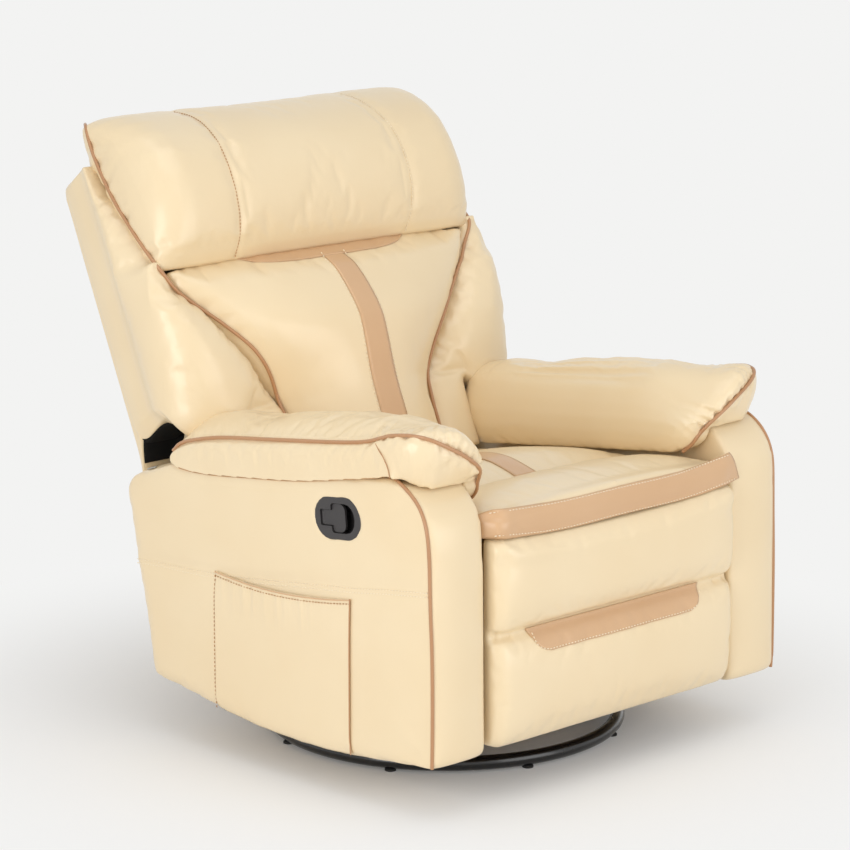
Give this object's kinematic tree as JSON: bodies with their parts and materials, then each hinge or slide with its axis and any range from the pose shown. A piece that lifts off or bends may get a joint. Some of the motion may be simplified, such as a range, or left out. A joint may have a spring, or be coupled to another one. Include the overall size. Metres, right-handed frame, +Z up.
{
  "type": "manual recliner chair",
  "caption": "Upholstered recliner armchair with a pull handle, a side pocket, a fold-out footrest and a reclining back on a swivel rocker ring base.",
  "frame": {"origin": "on the floor under the middle of the closed chair", "axes": "+Z up, the sitter faces -Y, the sitter's right and the handle are at -X"},
  "size_m": [0.8532, 1.021, 1.0569],
  "materials": {
    "leather": "soft sheen cream leather",
    "black_steel": "gloss black paint",
    "zinc_steel": "zinc-plated steel",
    "plywood": "bare plywood",
    "black_plastic": "moulded dark grey plastic",
    "black_rubber": "matt rubber"
  },
  "bodies": {
    "base": {"base_ring": "black_steel", "base_cross_bars": "black_steel", "swivel_lower_plate": "black_steel", "base_foot_1": "black_rubber", "base_foot_2": "black_rubber", "base_foot_3": "black_rubber", "base_foot_4": "black_rubber", "base_foot_5": "black_rubber", "base_foot_6": "black_rubber", "base_foot_7": "black_rubber", "base_foot_8": "black_rubber"},
    "swivel_seat": {"swivel_upper_plate": "black_steel", "swivel_bearing": "zinc_steel", "rocker_pedestal": "black_steel", "rocker_shaft": "zinc_steel", "rocker_spring_front": "zinc_steel", "rocker_spring_rear": "zinc_steel"},
    "chair": {"rocker_ear_left": "black_steel", "rocker_ear_right": "black_steel", "cross_tube_front": "black_steel", "cross_tube_rear": "black_steel", "side_rail_left": "plywood", "side_rail_right": "plywood", "front_rail": "plywood", "rear_rail": "plywood", "seat_spring_1": "zinc_steel", "seat_spring_2": "zinc_steel", "seat_spring_3": "zinc_steel", "seat_cushion": "leather", "arm_left": "leather", "arm_right": "leather", "arm_frame_left": "plywood", "arm_frame_right": "plywood", "arm_pad_left": "leather", "arm_pad_right": "leather", "side_pocket": "leather", "handle_housing": "black_plastic", "release_cable": "black_plastic", "mech_plate_left": "zinc_steel", "mech_plate_right": "zinc_steel", "footrest_spring": "zinc_steel"},
    "swing_links": {"swing_link_left": "zinc_steel", "swing_link_right": "zinc_steel", "torque_tube": "zinc_steel"},
    "carry_links": {"carry_link_left": "zinc_steel", "carry_link_right": "zinc_steel"},
    "footrest": {"footrest_board": "plywood", "footrest_pad": "leather", "footrest_bracket_left": "zinc_steel", "footrest_bracket_right": "zinc_steel"},
    "backrest": {"back_post_left": "zinc_steel", "back_post_right": "zinc_steel", "back_frame": "plywood", "back_rear_panel": "leather", "lumbar_cushion": "leather", "head_pillow": "leather", "bolster_left": "leather", "bolster_right": "leather"},
    "handle": {"handle_paddle": "black_plastic"},
    "latch": {"release_latch": "zinc_steel"}
  },
  "joints": [
    {"name": "swivel", "type": "hinge", "parent": "base", "child": "swivel_seat", "pos_m": [0, -0.08647, 0.0465], "axis": [0, 0, 1], "continuous": true},
    {"name": "rock", "type": "hinge", "parent": "swivel_seat", "child": "chair", "pos_m": [0, -0.08647, 0.2], "axis": [-1, 0, 0], "range_deg": [-5, 7], "stiffness_Nm_per_rad": 1300, "deforming": ["rocker_spring_front", "rocker_spring_rear"]},
    {"name": "recline", "type": "hinge", "parent": "chair", "child": "backrest", "pos_m": [0, 0.16353, 0.4], "axis": [-1, 0, 0], "range_deg": [0, 35]},
    {"name": "footrest_swing", "type": "hinge", "parent": "chair", "child": "swing_links", "pos_m": [0, -0.33647, 0.33], "axis": [-1, 0, 0], "range_deg": [0, 90], "deforming": ["footrest_spring"]},
    {"name": "footrest_carry", "type": "hinge", "parent": "swing_links", "child": "carry_links", "pos_m": [0, -0.29827, 0.11334], "axis": [-1, 0, 0], "range_deg": [-145, 0]},
    {"name": "footrest_turn", "type": "hinge", "parent": "carry_links", "child": "footrest", "pos_m": [0, -0.40827, 0.30387], "axis": [-1, 0, 0], "range_deg": [0, 145]},
    {"name": "handle_pull", "type": "hinge", "parent": "chair", "child": "handle", "pos_m": [-0.419, -0.23287, 0.46815], "axis": [0, -0.1045, -0.9945], "range_deg": [0, 25], "stiffness_Nm_per_rad": 0.4},
    {"name": "latch_turn", "type": "hinge", "parent": "chair", "child": "latch", "pos_m": [0, -0.25147, 0.355], "axis": [-1, 0, 0], "range_deg": [0, 15]}
  ],
  "couplings": [
    {"joint": "footrest_carry", "follows": "footrest_swing", "ratio": -1.6111},
    {"joint": "footrest_turn", "follows": "footrest_swing", "ratio": 1.6111},
    {"joint": "latch_turn", "follows": "handle_pull", "ratio": 0.6}
  ]
}
